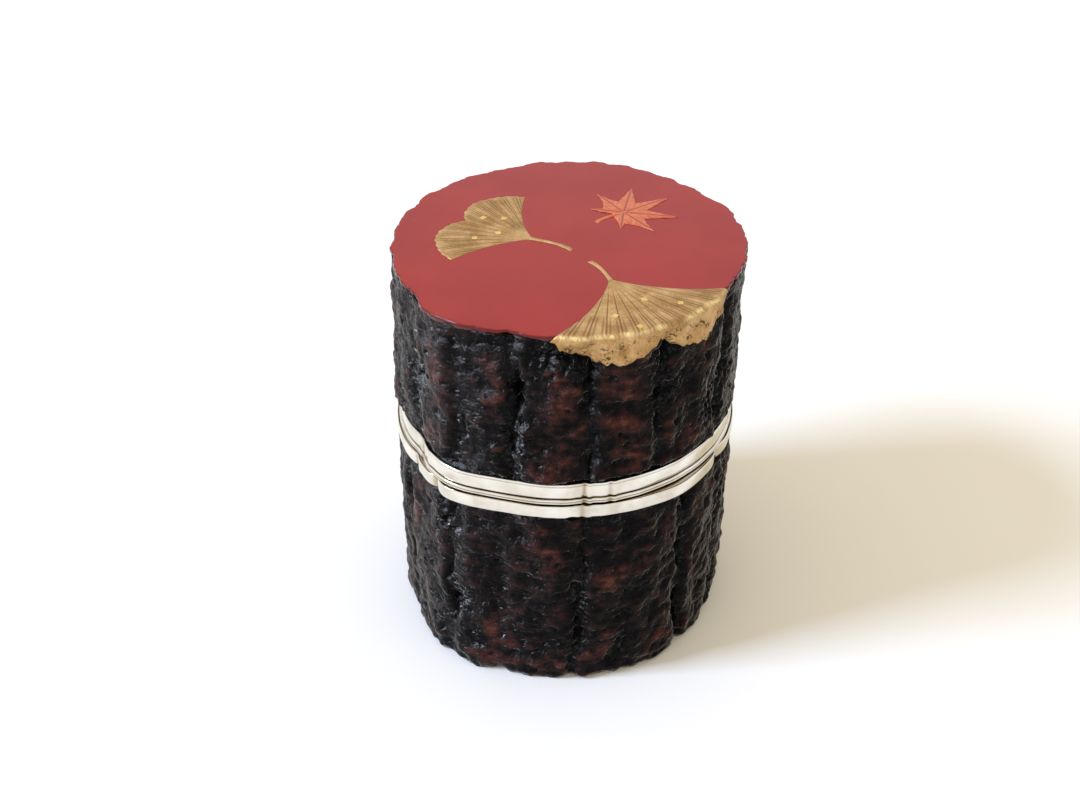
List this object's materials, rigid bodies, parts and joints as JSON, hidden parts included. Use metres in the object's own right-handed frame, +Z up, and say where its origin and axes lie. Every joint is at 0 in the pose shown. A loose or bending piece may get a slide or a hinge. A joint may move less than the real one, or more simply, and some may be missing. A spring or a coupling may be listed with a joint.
{
  "type": "tea caddy",
  "caption": "Round lidded tea caddy cut from a bark-covered log, its lid fitting over an inner collar, with silver rims at the joint and a red lacquered top with gold leaves.",
  "frame": {"origin": "middle of the base, on the surface it stands on", "axes": "+Z up through the lid, -Y towards the pictured front, +X to the right of it"},
  "size_m": [0.0664, 0.0669, 0.0804],
  "materials": {
    "bark": "rough bark under clear lacquer",
    "wood": "turned, lacquered",
    "black_lacquer": "glossy black lacquer",
    "red_lacquer": "glossy red lacquer",
    "silver": "polished silver",
    "gold": "satin gold powder on lacquer",
    "orange_lacquer": "raised orange lacquer",
    "gold_foil": "bright cut foil"
  },
  "bodies": {
    "caddy_body": {"body_bark": "bark", "body_wood_sleeve": "wood", "bottom_board": "black_lacquer", "inner_collar": "black_lacquer", "body_rim_band": "silver", "body_mouth_ring": "silver"},
    "lid": {"lid_mouth_ring": "silver", "lid_rim_band": "silver", "lid_wood_sleeve": "black_lacquer", "lid_bark": "bark", "lid_top_board": "red_lacquer", "gold_leaf_front": "gold", "gold_leaf_left": "gold", "orange_leaf": "orange_lacquer", "gold_foil_squares": "gold_foil"}
  },
  "joints": [
    {"name": "lid_lift", "type": "slide", "parent": "caddy_body", "child": "lid", "axis": [0, 0, 1], "range_m": [0, 0.06]}
  ]
}
